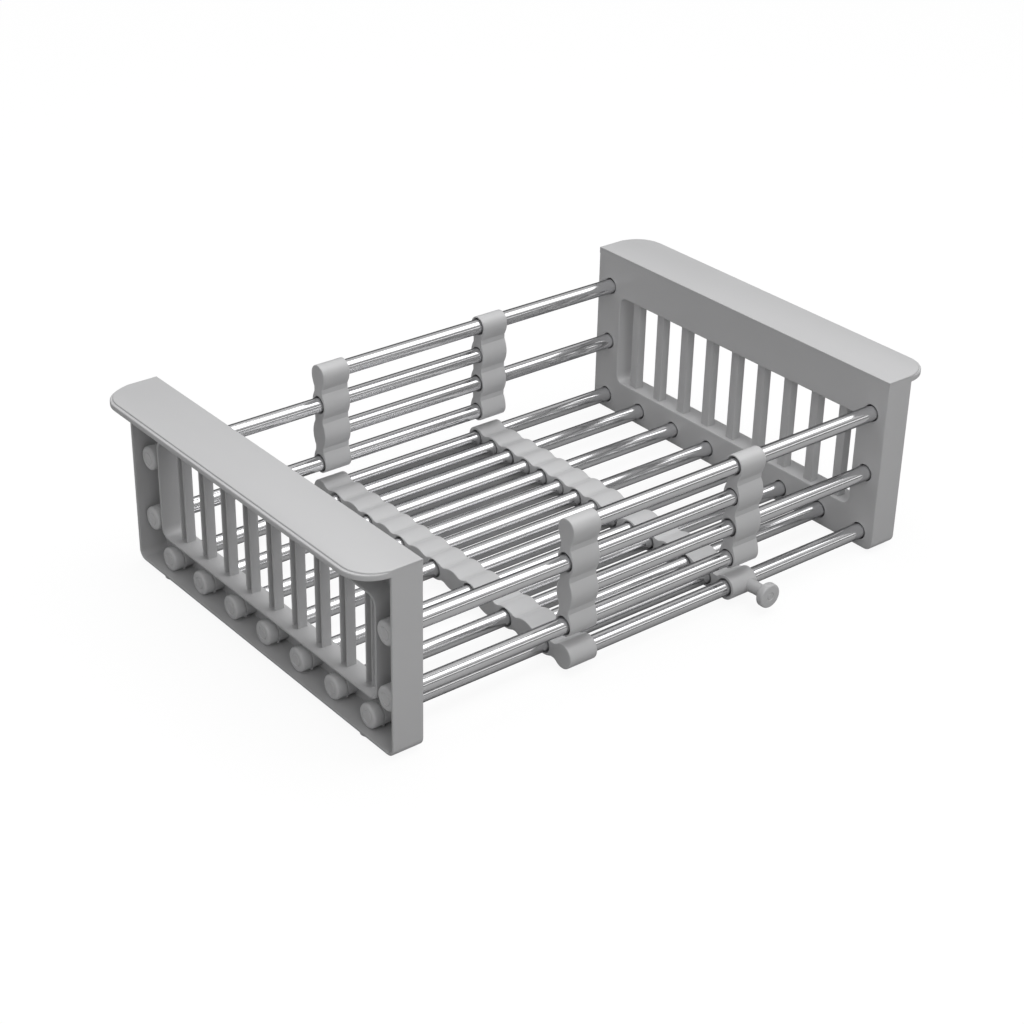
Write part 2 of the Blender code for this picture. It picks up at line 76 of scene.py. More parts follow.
# The tubes of the two halves alternate, so every second place in a clip is a half's own
FLOOR_PLACES = 15
SIDE_PLACES = 4
FIRST_ON_FLOOR = {"left": 1, "right": 0}
FIRST_ON_SIDE = {"left": 0, "right": 1}

# Points nearer than this are one point
SMALLEST = 0.000002
# Edges that turn by more than this stay sharp
SHARP_ANGLE = math.radians(26)

# Facets round whole circles
ROUND_SIDES = 40
KNOB_SIDES = 56
SMALL_SIDES = 32
PIP_SIDES, PIP_RINGS = 16, 10

# Steps along arcs and rounded edges
CLIP_END_STEPS = 24
FLANGE_CORNER_STEPS = 24
CORNER_STEPS = 8
RIM_STEPS = 4
CAP_EDGE_STEPS = 5
CAP_BASE_STEPS = 2
COLLAR_EDGE_STEPS = 3
KNOB_EDGE_STEPS = 6
FOOT_EDGE_STEPS = 4
BEVEL_STEPS = 2

# Halvings that find where a clip's end boss meets its wave
HALVINGS = 40

# Degrees at which the flange's bead has its rings, from its widest place to its underside and its top
BEAD_UNDER_ANGLES = (0, 22.5, 45, 67.5, 90)
BEAD_TOP_ANGLES = (0, 22, 45, 68, 90)

# Shares of the sizes that these shapes follow
CAP_GROOVE_SHARES = (0.6, 0.9)
KNOB_GROOVE_SHARES = (0.5, 1.0)
KNOB_BORE_SHARE = 0.6
COLLAR_FLARE_SHARE = 0.45
THREAD_DEPTH_SHARE = 0.4
FOOT_EDGE_SHARE = 0.4
OPEN_EDGE_SHARE = 0.6
FLAT_RIM_SHARE = 1.5

# Patterns of the finishes, in waves per metre, and how far each one is drawn out
CLOUD_SCALE, FLOW_SCALE, GRAIN_SCALE, DIMPLE_SCALE = 22.0, 90.0, 2600.0, 420.0
LINE_SCALE, HAZE_SCALE, FLOOR_SPECK_SCALE = 900.0, 260.0, 3.0
FLOW_STRETCH = (1.0, 0.25, 1.0)
LINE_STRETCH = (0.02, 1.0, 1.0)
HAZE_STRETCH = (0.05, 1.0, 1.0)
PLASTIC_RELIEF = {"Strength": 0.10, "Distance": 0.00005}
STEEL_RELIEF = {"Strength": 0.01, "Distance": 0.00002}
STEEL_EDGE_TINT = (0.18, 0.18, 0.19, 1.0)
WHITE = (1, 1, 1, 1)

# Soft lamps of the stage, in metres
RACK_MIDDLE = (0, 0, 0.05)
LAMPS = {
    "key": {"place": (0.12, 0.15, 1.7), "aim": (0.12, 0.15, 0), "width": 1.2, "depth": 2.6},
    "left": {"place": (-1.7, -0.7, 0.95), "aim": RACK_MIDDLE, "width": 0.8, "depth": 0.6},
    "front": {"place": (-0.45, -2.15, 1.0), "aim": RACK_MIDDLE, "width": 1.4, "depth": 1.2},
    "band": {"place": (1.155, -0.46, 1.75), "aim": RACK_MIDDLE, "width": 1.5, "depth": 1.0},
    "strip": {"place": (1.27, -1.86, 0.55), "aim": RACK_MIDDLE, "width": 1.4, "depth": 0.40},
}


def length(name, description, default, largest=0.5):
    """A size in metres that a user may change."""
    return bpy.props.FloatProperty(
        name=name, description=description, default=default, min=0, max=largest, subtype="DISTANCE",
        precision=5)


def tilt(name, description, degrees):
    """An angle that a user may change, written in degrees."""
    return bpy.props.FloatProperty(
        name=name, description=description, default=math.radians(degrees), subtype="ANGLE")


def spot(name, description, default):
    """A place in metres that a user may change."""
    return bpy.props.FloatVectorProperty(
        name=name, description=description, default=default, size=3, subtype="TRANSLATION", unit="LENGTH")


def colour(name, description, default):
    """A colour that a user may change."""
    return bpy.props.FloatVectorProperty(
        name=name, description=description, default=default, size=3, min=0, max=1, subtype="COLOR")


def amount(name, description, default, largest=1):
    """A plain number that a user may change."""
    return bpy.props.FloatProperty(name=name, description=description, default=default, min=0, max=largest)


def count(name, description, default):
    """A number of copies or steps."""
    return bpy.props.IntProperty(name=name, description=description, default=default, min=1, max=256)


class RackPanelSettings(bpy.types.PropertyGroup):
    """Sizes of the moulded end panels."""
    depth: length("Box depth", "Depth of the open box behind the inner face", 0.0182)
    wall: length("Wall", "Thickness of the moulded walls", 0.0018)
    corner: length("Lower corner", "Radius of the box's lower corners", 0.0055)
    edge: length("Edge", "Rounding of the moulded edges", 0.0006)
    foot_height: length("Foot height", "How far the feet stand below the box", 0.0014)
    foot_diameter: length("Foot diameter", "Diameter of a foot", 0.0080)
    foot_inset: length("Foot inset", "From a panel's side to a foot's centre", 0.0280)
    foot_setback: length("Foot setback", "From the inner face to a foot's centre", 0.0138)
    window_inset: length("Window inset", "From a panel's side to its window", 0.0210)
    window_bottom: length("Window bottom", "From the box's underside to the window", 0.0220)
    window_top: length("Window top", "From the box's underside to the window's top", 0.0800)
    window_corner: length("Window corner", "Radius of the window's corners", 0.0050)
    frame_wall: length("Frame wall", "Thickness of the wall round the window", 0.0015)
    frame_depth: length("Frame depth", "From the inner face to the frame's rim", 0.0140)
    boss_diameter: length("Boss diameter", "Diameter of a tube's boss", 0.0135)
    boss_reach: length("Boss reach", "From the inner face to a boss's end", 0.0086)
    bore_gap: length("Bore gap", "Gap round a tube in its boss", 0.0005)
    gusset_reach: length("Gusset reach", "How far a gusset runs out under the flange", 0.0266)
    gusset_inset: length("Gusset inset", "From a panel's side to a gusset", 0.0175)
    gusset_height: length("Gusset height", "Height of a gusset", 0.0038)
    gusset_wall: length("Gusset wall", "Thickness of a gusset", 0.0012)
    gusset_edge: length("Gusset edge", "Rounding of a gusset", 0.0002)


class RackFlangeSettings(bpy.types.PropertyGroup):
    """Sizes of the hanging flange."""
    reach: length("Reach", "From the inner face to the flange's outer edge", 0.0360)
    thickness: length("Thickness", "Thickness of the flange", 0.0040)
    corner: length("Corner", "Radius of the two outer corners", 0.0175)
    lip_width: length("Lip width", "Width of the bead round the outer edge", 0.0016)
    lip_drop: length("Lip drop", "Height of the step from the bead up to the top", 0.0008)
    bead_top: length("Bead top", "Rounding of the bead's upper edge", 0.0008)
    bead_under: length("Bead underside", "Rounding of the bead's lower edge", 0.0006)
    top_edge: length("Top edge", "Rounding of the top plate's rim", 0.0006)
    step_slope: length("Step slope", "How far the step from bead to top leans in", 0.0001)
    growth: amount("Lip growth", "How soon the bead leaves the sides, as a power", 0.5)


class RackBarSettings(bpy.types.PropertyGroup):
    """Sizes of the channel bars in the window."""
    bars: count("Bars", "Number of bars in a window", 9)
    pitch: length("Pitch", "From bar to bar", 0.0220)
    width: length("Width", "Width of a bar", 0.0060)
    depth: length("Depth", "Depth of a bar", 0.0056)
    wall: length("Wall", "Thickness of a bar's walls", 0.0011)
    setback: length("Setback", "From the inner face to the bars", 0.0026)
    edge: length("Edge", "Rounding of a bar's edges", 0.00025)


class RackTubeSettings(bpy.types.PropertyGroup):
    """Sizes of the tubes and their caps."""
    wall: length("Wall", "Wall of a steel tube", 0.0005)
    end_edge: length("End edge", "Rounding of a tube's cut ends", 0.0001)
    sides: count("Sides", "Facets round a tube", 48)
    cap_height: length("Cap height", "Height of a cap past its boss", 0.0060)
    cap_edge: length("Cap edge", "Rounding of a cap's face", 0.0015)
    ring_radius: length("Ring radius", "Radius of the ring in a cap's face", 0.0036)
    ring_width: length("Ring width", "Width of that ring", 0.0005)
    ring_depth: length("Ring depth", "Depth of that ring", 0.0003)
    pip_radius: length("Pip", "Radius of the moulding pip under a boss", 0.0009)
    pip_turn: tilt("Pip turn", "Turn of a pip from straight down to the near side", 32)


class RackClipSettings(bpy.types.PropertyGroup):
    """Sizes of the wavy clips."""
    side_pitch: length("Side pitch", "From tube to tube on a side", 0.01875)
    side_neck: length("Side neck", "Thickness of a side clip between two tubes", 0.0078)
    floor_neck: length("Floor neck", "Thickness of a floor clip between two tubes", 0.0090)
    corner_boss: length("Corner boss", "Diameter of a floor clip's end bosses", 0.0144)
    end_wall: length("End wall", "Thickness of the wall over a blind socket", 0.0025)
    slide_gap: length("Slide gap", "Gap round a tube that slides", 0.0008)
    held_gap: length("Held gap", "Gap round a tube that is held", 0.0005)
    edge: length("Edge", "Rounding of the clip's end edges", 0.0005)
    lobe: amount("Lobe", "Half of an arched lobe as a share of the pitch", 0.42)
    wave_steps: count("Wave steps", "Points along half a lobe", 8)


class RackLockSettings(bpy.types.PropertyGroup):
    """Sizes of the thumbscrew."""
    collar_diameter: length("Collar diameter", "Diameter of the moulded collar", 0.0072)
    collar_flare: length("Collar flare", "Growth of the collar at its root", 0.0005)
    collar_edge: length("Collar edge", "Rounding of the collar's end", 0.0004)
    collar_sunk: length("Collar sunk", "How far the collar's root lies inside the clip's wall", 0.0006)
    screw_gap: length("Screw gap", "Gap round the screw in the collar", 0.0003)
    knob_edge: length("Knob edge", "Rounding of the knob", 0.0011)
    knob_gap: length("Knob gap", "From the collar to the knob", 0.0005)
    ring_radius: length("Ring radius", "Radius of the ring on the knob's face", 0.0022)
    ring_width: length("Ring width", "Width of that ring", 0.0005)
    ring_depth: length("Ring depth", "Depth of that ring", 0.0003)
    thread_pitch: length("Thread pitch", "Pitch of the screw's thread", 0.0007)


class RackFinishSettings(bpy.types.PropertyGroup):
    """Colours and finishes."""
    plastic: colour("Plastic", "Colour of the moulded panels and clips", (0.53, 0.53, 0.535))
    cap: colour("Caps", "Colour of the tube caps", (0.66, 0.66, 0.665))
    steel: colour("Steel", "Colour of the tubes", (0.86, 0.86, 0.87))
    screw: colour("Screw", "Colour of the screw", (0.60, 0.60, 0.62))
    floor: colour("Floor", "Colour of the floor", (0.34, 0.34, 0.34))
    plastic_roughness: amount("Plastic roughness", "Roughness of the plastic", 0.31)
    steel_roughness: amount("Steel roughness", "Roughness of the tubes", 0.13)
    screw_roughness: amount("Screw roughness", "Roughness of the screw", 0.26)


class RackStageSettings(bpy.types.PropertyGroup):
    """Camera, lamps and floor."""
    camera_place: spot("Camera place", "Where the camera stands", (-0.66516, -0.80702, 0.61067))
    azimuth: tilt("Azimuth", "Turn of the camera about Z", -39.01)
    elevation: tilt("Elevation", "How far the camera looks down", 29.12)
    roll: tilt("Roll", "Turn of the camera about its view", 1.18)
    lens: amount("Lens", "Focal length in millimetres", 75.0, 300)
    sensor: amount("Sensor", "Width of the camera's sensor in millimetres", 36.0, 100)
    nearest: length("Nearest", "Nearest distance that the camera shows", 0.01)
    floor_size: length("Floor", "Width of the floor", 12.0, 40)
    floor_gap: length("Floor gap", "How far the floor lies under the feet", 0.0002)
    key_power: amount("Key", "Power of the overhead lamp in watts", 20.5, 500)
    left_power: amount("Left", "Power of the lamp on the left in watts", 3.0, 500)
    front_power: amount("Front", "Power of the lamp in front in watts", 10.0, 500)
    band_power: amount("Band", "Power of the lamp that draws the tubes' white band in watts", 5.6, 500)
    strip_power: amount("Strip", "Power of the low strip in front in watts", 1.5, 500)
    whiteness: amount("Whiteness", "Share of the floor's shading that is drawn plain white", 0.74)
    mirrored: amount("Mirrored white", "How much of the white ground and world the metal mirrors", 0.05)
    white: amount("White", "Level of that plain white", 1.24, 2)
    horizon: amount("Horizon", "Light of the surroundings at the horizon", 0.06)
    zenith: amount("Zenith", "Light of the surroundings overhead", 0.50)
    dark_below: amount("Dark below", "Height up to which the surroundings are as the horizon", 0.30)
    light_above: amount("Light above", "Height from which the surroundings are as the zenith", 0.60)


SETTINGS = {
    "rack_panel": RackPanelSettings,
    "rack_flange": RackFlangeSettings,
    "rack_bar": RackBarSettings,
    "rack_tube": RackTubeSettings,
    "rack_clip": RackClipSettings,
    "rack_lock": RackLockSettings,
    "rack_finish": RackFinishSettings,
    "rack_stage": RackStageSettings,
}


def settings(name):
    """One group of settings on the scene."""
    return getattr(bpy.context.scene, name)


class Wire:
    """A node's output that can be used in sums: each operator adds a Math node."""

    def __init__(self, tree, socket):
        self.tree = tree
        self.socket = socket

    def math(self, operation, *others):
        """Add a Math node to this value and the others."""
        values = {index: other for index, other in enumerate((self, *others))}
        return self.tree.add("ShaderNodeMath", {"operation": operation}, values)

    def __add__(self, other):
        return self.math("ADD", other)

    def __mul__(self, other):
        return self.math("MULTIPLY", other)

    __radd__ = __add__
    __rmul__ = __mul__

    def __sub__(self, other):
        return self.math("SUBTRACT", other)

    def __rsub__(self, other):
        return self.tree.add("ShaderNodeMath", {"operation": "SUBTRACT"}, {0: other, 1: self})


class NodeTree:
    """A material's or world's node tree, with one method that makes any node."""

    def __init__(self, tree):
        self.nodes = tree.nodes
        self.links = tree.links

    def add(self, kind, choices, values, output=0):
        """Make a node: its choices first, then the values or links of its sockets."""
        node = self.nodes.new(kind)
        for name, choice in choices.items():
            setattr(node, name, choice)
        for name, value in values.items():
            if isinstance(value, Wire):
                self.links.new(value.socket, node.inputs[name])
            else:
                node.inputs[name].default_value = value
        return Wire(self, node.outputs[output])


def surface(name):
    """A new material with an empty tree and its object coordinates."""
    made = bpy.data.materials.new(name)
    made.use_nodes = True
    made.node_tree.nodes.clear()
    tree = NodeTree(made.node_tree)
    place = tree.add("ShaderNodeTexCoord", {}, {}, "Object")
    return made, tree, place


def finish_surface(tree, values):
    """Close a material with a Principled shader."""
    shader = tree.add("ShaderNodeBsdfPrincipled", {}, values)
    output = tree.nodes.new("ShaderNodeOutputMaterial")
    tree.links.new(shader.socket, output.inputs["Surface"])


def noise(tree, place, scale, detail):
    """Soft random pattern from 0 to 1."""
    return tree.add("ShaderNodeTexNoise", {}, {"Vector": place, "Scale": scale, "Detail": detail}, "Fac")


def drawn_out(tree, place, stretch):
    """Coordinates in which a pattern is drawn out along one axis."""
    return tree.add("ShaderNodeMapping", {}, {"Vector": place, "Scale": stretch}, "Vector")


def vary(pattern, by):
    """A pattern turned into a change of this size about zero."""
    return (pattern - 0.5) * by


def shaded(tree, tint, shade):
    """A colour made lighter and darker by a pattern."""
    values = {0: tuple(tint), "Scale": shade}
    return tree.add("ShaderNodeVectorMath", {"operation": "SCALE"}, values, "Vector")


def moulded_plastic(name, tint, roughness):
    """Satin moulded plastic: a fine grain, faint flow clouds and a little wear in the gloss."""
    made, tree, place = surface(name)
    cloud = noise(tree, place, CLOUD_SCALE, 3.0)
    flow = noise(tree, drawn_out(tree, place, FLOW_STRETCH), FLOW_SCALE, 2.0)
    grain = noise(tree, place, GRAIN_SCALE, 2.0)
    dimple = noise(tree, place, DIMPLE_SCALE, 1.0)
    base = shaded(tree, tint, vary(cloud, by=0.03) + vary(flow, by=0.02) + vary(grain, by=0.03) + 1.0)
    gloss = vary(cloud, by=0.10) + vary(dimple, by=0.06) + roughness
    relief = grain * 0.6 + dimple * 0.4
    bump = tree.add("ShaderNodeBump", {}, {"Height": relief, **PLASTIC_RELIEF}, "Normal")
    finish_surface(tree, {
        "Base Color": base, "Roughness": gloss, "Normal": bump, "IOR": 1.5, "Specular IOR Level": 0.45})
    return made


def drawn_steel(name, tint, roughness):
    """Polished stainless steel with faint drawing lines along its length."""
    made, tree, place = surface(name)
    lines = noise(tree, drawn_out(tree, place, LINE_STRETCH), LINE_SCALE, 2.0)
    haze = noise(tree, drawn_out(tree, place, HAZE_STRETCH), HAZE_SCALE, 2.0)
    base = shaded(tree, tint, vary(lines, by=0.08) + vary(haze, by=0.08) + 1.0)
    gloss = vary(lines, by=0.02) + vary(haze, by=0.03) + roughness
    bump = tree.add("ShaderNodeBump", {}, {"Height": lines, **STEEL_RELIEF}, "Normal")
    finish_surface(tree, {
        "Base Color": base, "Roughness": gloss, "Normal": bump, "Metallic": 1.0,
        "Specular Tint": STEEL_EDGE_TINT})
    return made


def material(kind):
    """The material of one kind of piece, made once."""
    if kind in bpy.data.materials:
        return bpy.data.materials[kind]
    finish = settings("rack_finish")
    if kind == "grey_plastic_finish":
        return moulded_plastic(kind, finish.plastic, finish.plastic_roughness)
    if kind == "cap_plastic_finish":
        return moulded_plastic(kind, finish.cap, finish.plastic_roughness)
    if kind == "tube_steel_finish":
        return drawn_steel(kind, finish.steel, finish.steel_roughness)
    return drawn_steel(kind, finish.screw, finish.screw_roughness)


def arc(centre, radius, start, end, steps):
    """Points on an arc, angles in degrees."""
    points = []
    for step in range(steps + 1):
        angle = math.radians(start + (end - start) * step / steps)
        points.append((centre[0] + radius * math.cos(angle), centre[1] + radius * math.sin(angle)))
    return points


def circle(centre, radius, sides):
    """Points round a circle."""
    return arc(centre, radius, 0, 360, sides)[:-1]


def rounded_rectangle(low, high, radius, steps):
    """Outline of a rectangle with four round corners."""
    left, right = low[0] + radius, high[0] - radius
    bottom, top = low[1] + radius, high[1] - radius
    points = arc((left, bottom), radius, 180, 270, steps)
    points += arc((right, bottom), radius, 270, 360, steps)
    points += arc((right, top), radius, 0, 90, steps)
    points += arc((left, top), radius, 90, 180, steps)
    return points


def add_loop(shape, points):
    """Closed ring of edges through 3D points."""
    corners = [shape.verts.new(point) for point in points]
    edges = [shape.edges.new((corners[index - 1], corners[index])) for index in range(len(corners))]
    return corners, edges


def across(outline, x):
    """An outline in Y and Z, set at one X."""
    return [(x, y, z) for y, z in outline]


def fill(shape, loops, mark, layer):
    """Fill the space between flat rings of edges and mark its faces."""
    edges = [edge for loop in loops for edge in loop]
    made = bmesh.ops.triangle_fill(shape, edges=edges, use_beauty=True, use_dissolve=False)
    faces = [item for item in made["geom"] if isinstance(item, bmesh.types.BMFace)]
    for face in faces:
        face[layer] = mark
    return faces


def pull(shape, faces, offset):
    """Extrude faces by an offset and return the faces at their new place."""
    edges = list(dict.fromkeys(edge for face in faces for edge in face.edges))
    made = bmesh.ops.extrude_face_region(shape, geom=faces + edges)
    moved = [item for item in made["geom"] if isinstance(item, bmesh.types.BMVert)]
    bmesh.ops.translate(shape, verts=moved, vec=offset)
    return [item for item in made["geom"] if isinstance(item, bmesh.types.BMFace)]


def faces_at(shape, x):
    """Faces that lie flat at one X."""
    return [face for face in shape.faces if all(abs(corner.co.x - x) < SMALLEST for corner in face.verts)]


def round_rim(shape, faces, radius, direction):
    """Round the rim of a flat region: it is inset in steps as it rises by the radius."""
    out, up = 0.0, 0.0
    for step in range(1, RIM_STEPS + 1):
        angle = math.radians(90) * step / RIM_STEPS
        next_out, next_up = radius * (1 - math.cos(angle)), radius * math.sin(angle)
        bmesh.ops.inset_region(
            shape, faces=faces, thickness=next_out - out, depth=0, use_even_offset=True, use_boundary=True)
        corners = list(dict.fromkeys(corner for face in faces for corner in face.verts))
        bmesh.ops.translate(shape, verts=corners, vec=direction * (next_up - up))
        out, up = next_out, next_up


def turned(profile, base, axis, side, steps):
    """New shape: a profile of radius and height, spun about an axis through a base point."""
    shape = bmesh.new()
    corners = [shape.verts.new(base + side * radius + axis * height) for radius, height in profile]
    edges = [shape.edges.new(pair) for pair in zip(corners, corners[1:])]
    bmesh.ops.spin(
        shape, geom=corners + edges, cent=base, axis=axis, angle=math.tau, steps=steps, use_merge=True)
    bmesh.ops.remove_doubles(shape, verts=shape.verts, dist=SMALLEST)
    return shape


def groove(sizes, face, shares):
    """Profile of the ring sunk in a round face; the shares place its floor's start and its middle's depth."""
    ring, width, depth = sizes.ring_radius, sizes.ring_width, sizes.ring_depth
    start_share, depth_share = shares
    return [
        (ring - width, face), (ring - width * start_share, face - depth),
        (ring, face - depth * depth_share), (ring + width / 2, face)]


def finish_piece(shape, name, kind, body, replaced=()):
    """Merge a shape's doubles, shade it smooth, and put it in the scene on its body."""
    bmesh.ops.remove_doubles(shape, verts=shape.verts, dist=SMALLEST)
    bmesh.ops.dissolve_degenerate(shape, edges=shape.edges, dist=SMALLEST)
    bmesh.ops.recalc_face_normals(shape, faces=shape.faces)
    open_edges = sum(1 for edge in shape.edges if len(edge.link_faces) != 2)
    if open_edges:
        raise RuntimeError(f"{name} has {open_edges} open edges")
    mesh = bpy.data.meshes.new(name)
    shape.to_mesh(mesh)
    shape.free()
    mesh.shade_smooth()
    mesh.set_sharp_from_angle(angle=SHARP_ANGLE)
    mesh.materials.append(material(kind + "_finish"))
    piece = bpy.data.objects.new(name, mesh)
    bpy.context.scene.collection.objects.link(piece)
    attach(piece, body)
    if replaced:
        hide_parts(*replaced)


def floor_y(place):
    """Y of a floor tube, read from the tubes' nodes."""
    half = "right" if place % 2 == 0 else "left"
    low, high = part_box(f"{half}_floor_{place // 2 + 1}_tube")
    return (low.y + high.y) / 2


def side_z(place):
    """Height of a side tube, counted from the corner tube up."""
    return TUBE_Z + settings("rack_clip").side_pitch * place


def flange_underside():
    """Height of the flange's underside, which the box and the gussets reach up to."""
    return TOP_Z - settings("rack_flange").thickness


def half_nodes(half, kind):
    """Names of one half's nodes of a kind."""
    return sorted(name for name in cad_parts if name.startswith(half) and name.endswith(kind))


def build_tubes():
    """Smooth tubes in place of the faceted ones."""
    sizes = settings("rack_tube")
    for half in HALVES:
        for name in half_nodes(half, "_tube"):
            low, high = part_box(name)
            centre = (low + high) / 2
            outer = TUBE_DIAMETER / 2
            inner = outer - sizes.wall
            edge = sizes.end_edge
            span = high.x - low.x
            profile = [
                (outer - edge, 0), (outer, edge), (outer, span - edge), (outer - edge, span),
                (inner + edge, span), (inner, span - edge), (inner, edge), (inner + edge, 0),
                (outer - edge, 0)]
            base = Vector((low.x, centre.y, centre.z))
            shape = turned(profile, base, Vector((1, 0, 0)), UP, sizes.sides)
            finish_piece(shape, name.replace("_tube", "_steel_tube"), "tube_steel", f"{half}_half", (name,))


def build_caps():
    """Caps with a round edge and a ring in their face."""
    sizes = settings("rack_tube")
    for half in HALVES:
        outward = OUTWARD[half]
        for name in half_nodes(half, "_cap"):
            low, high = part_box(name)
            centre = (low + high) / 2
            face_x = low.x if half == "left" else high.x
            radius = (high.z - low.z) / 2
            top = sizes.cap_height
            edge, base_edge = sizes.cap_edge, sizes.ring_depth
            spigot = TUBE_DIAMETER / 2 - sizes.wall * 2
            reach = high.x - low.x - top
            profile = [(0, top)] + groove(sizes, top, CAP_GROOVE_SHARES)
            profile += arc((radius - edge, top - edge), edge, 90, 0, CAP_EDGE_STEPS)
            profile += arc((radius - base_edge, base_edge), base_edge, 0, -90, CAP_BASE_STEPS)
            profile += [(spigot, 0), (spigot, -reach), (0, -reach)]
            base = Vector((face_x - outward * top, centre.y, centre.z))
            shape = turned(profile, base, Vector((outward, 0, 0)), UP, ROUND_SIDES)
            finish_piece(shape, name.replace("_cap", "_tube_cap"), "cap_plastic", f"{half}_half", (name,))


def wave(first, pitch, places, middle, neck, end_radius):
    """Outline of a clip: an arched lobe at each tube, a flat neck between two, and round end bosses."""
    lobe, steps = settings("rack_clip").lobe, settings("rack_clip").wave_steps

    def half_thickness(along):
        off_share = abs(along / pitch - round(along / pitch)) / lobe
        return neck / 2 + (LOBE_THICKNESS - neck) / 2 * max(0, 1 - off_share ** 2)

    # Where the round end boss meets the wave
    meet, beyond = 0.0, pitch / 2
    for _ in range(HALVINGS):
        trial = (meet + beyond) / 2
        if math.hypot(trial, half_thickness(trial)) < end_radius:
            meet = trial
        else:
            beyond = trial
    angle = math.degrees(math.atan2(half_thickness(meet), meet))
    span = pitch * (places - 1)
    # Points half way between two tubes and along each lobe, none nearer to an end boss than a third of a step
    shares = [-0.5] + [lobe * step / steps for step in range(-steps, steps + 1)]
    stops = [pitch * (place + share) for place in range(places) for share in shares]
    gap = pitch * lobe / steps / 3
    stops = [stop for stop in stops if meet + gap < stop < span - meet - gap]
    below = [(first + stop, middle - half_thickness(stop)) for stop in stops]
    above = [(first + stop, middle + half_thickness(stop)) for stop in reversed(stops)]
    last_end = arc((first + span, middle), end_radius, angle - 180, 180 - angle, CLIP_END_STEPS)
    first_end = arc((first, middle), end_radius, angle, 360 - angle, CLIP_END_STEPS)
    return below + last_end + above + first_end


def clip_shape(outline, centres, first_held, low_x, high_x, open_side):
    """Clip body: bores right through for tubes that slide, blind sockets for those it holds."""
    sizes = settings("rack_clip")
    body_mark, socket_mark = 1, 2
    shape = bmesh.new()
    layer = shape.faces.layers.int.new("part")
    closed_x, open_x = (low_x, high_x) if open_side > 0 else (high_x, low_x)
    inward = Vector((open_side, 0, 0))
    edge, open_edge = sizes.edge, sizes.edge * OPEN_EDGE_SHARE
    start_x = closed_x + open_side * edge
    loops, discs = [add_loop(shape, across(outline, start_x))[1]], []
    for number, centre in enumerate(centres):
        held = number % 2 == first_held
        radius = TUBE_DIAMETER / 2 + (sizes.held_gap if held else sizes.slide_gap)
        corners, ring = add_loop(shape, across(circle(centre, radius, ROUND_SIDES), start_x))
        loops.append(ring)
        if held:
            discs.append(corners)
    faces = fill(shape, loops, body_mark, layer)
    for corners in discs:
        disc = shape.faces.new(corners)
        disc[layer] = socket_mark
        faces.append(disc)
    bmesh.ops.recalc_face_normals(shape, faces=faces)
    moved = pull(shape, faces, inward * (sizes.end_wall - edge))
    body = [face for face in moved if face[layer] == body_mark]
    top = pull(shape, body, inward * (abs(open_x - closed_x) - sizes.end_wall - open_edge))
    round_rim(shape, faces_at(shape, start_x), edge, -inward)
    round_rim(shape, top, open_edge, inward)
    return shape


def build_side_clip(half, label):
    """Wavy clip of four places on one of the two side walls."""
    sizes = settings("rack_clip")
    name = f"{half}_{label}_side_clip"
    low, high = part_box(name)
    middle = (low.y + high.y) / 2
    upright = wave(side_z(1), sizes.side_pitch, SIDE_PLACES, middle, sizes.side_neck, LOBE_THICKNESS / 2)
    outline = [(y, z) for z, y in upright]
    centres = [(middle, side_z(step + 1)) for step in range(SIDE_PLACES)]
    shape = clip_shape(outline, centres, FIRST_ON_SIDE[half], low.x, high.x, OUTWARD[half])
    finish_piece(shape, f"{half}_{label}_wave_clip", "grey_plastic", f"{half}_half", (name,))


def build_floor_clip(half):
    """Wavy clip right across the floor."""
    sizes = settings("rack_clip")
    name = f"{half}_floor_clip"
    low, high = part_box(name)
    pitch = (floor_y(FLOOR_PLACES - 1) - floor_y(0)) / (FLOOR_PLACES - 1)
    outline = wave(floor_y(0), pitch, FLOOR_PLACES, TUBE_Z, sizes.floor_neck, sizes.corner_boss / 2)
    centres = [(floor_y(place), TUBE_Z) for place in range(FLOOR_PLACES)]
    shape = clip_shape(outline, centres, FIRST_ON_FLOOR[half], low.x, high.x, OUTWARD[half])
    finish_piece(shape, f"{half}_floor_wave_clip", "grey_plastic", f"{half}_half", (name,))


def build_clips():
    """Wavy clips on the tubes' free ends."""
    for half in HALVES:
        build_side_clip(half, "near")
        build_side_clip(half, "far")
        build_floor_clip(half)


def flange_outline(half, inset):
    """Square at the inner face, with two large round corners that an inset grows along."""
    sizes = settings("rack_flange")
    points = [(0, NEAR_Y)]
    for centre_y, start in ((NEAR_Y + sizes.corner, 270), (FAR_Y - sizes.corner, 0)):
        for step in range(FLANGE_CORNER_STEPS + 1):
            angle = math.radians(start + 90 * step / FLANGE_CORNER_STEPS)
            radius = sizes.corner - inset * abs(math.cos(angle)) ** sizes.growth
            x = sizes.reach - sizes.corner + radius * math.cos(angle)
            points.append((x, centre_y + radius * math.sin(angle)))
    points.append((0, FAR_Y))
    return [(INNER_X[half] + OUTWARD[half] * x, y) for x, y in points]


